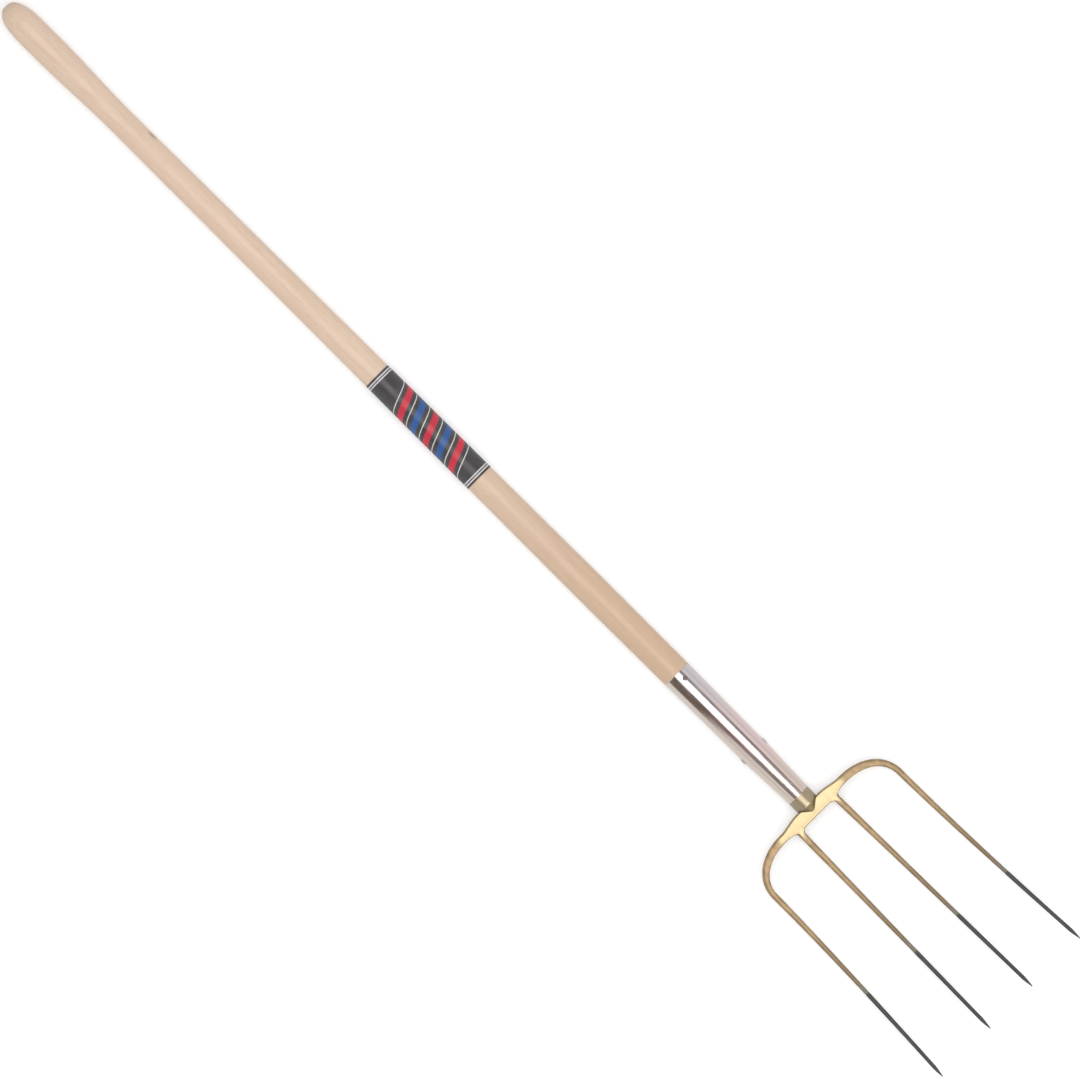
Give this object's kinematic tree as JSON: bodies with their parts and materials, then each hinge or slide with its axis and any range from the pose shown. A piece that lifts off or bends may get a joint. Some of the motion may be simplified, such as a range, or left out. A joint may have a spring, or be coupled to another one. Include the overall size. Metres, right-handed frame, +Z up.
{
  "type": "manure fork",
  "caption": "Long-handled manure fork: a straight turned wooden handle, a plated ferrule and a forged head of slender dished tines for lifting dung and straw.",
  "frame": {"origin": "on the floor under the middle of the tool's length and width", "axes": "+X along the handle from the grip to the points, +Y to the left of someone who holds the handle, +Z up, out of the dished face"},
  "size_m": [1.648, 0.2294, 0.039],
  "materials": {
    "ash_wood": "sanded ash with a thin clear coat",
    "plated_steel": "bright nickel plating",
    "gold_lacquer": "clear gold lacquer on bright forged steel",
    "rivet_steel": "plain steel",
    "nail_steel": "dark blued steel",
    "label_film": "printed film",
    "black_dip": "satin black dip paint"
  },
  "bodies": {
    "root": {"handle": "ash_wood", "ferrule": "plated_steel", "head": "gold_lacquer", "cross_rivet": "rivet_steel", "ferrule_nail": "nail_steel", "label": "label_film", "tip_coat_left_outer": "black_dip", "tip_coat_left_inner": "black_dip", "tip_coat_right_inner": "black_dip", "tip_coat_right_outer": "black_dip"}
  },
  "joints": []
}
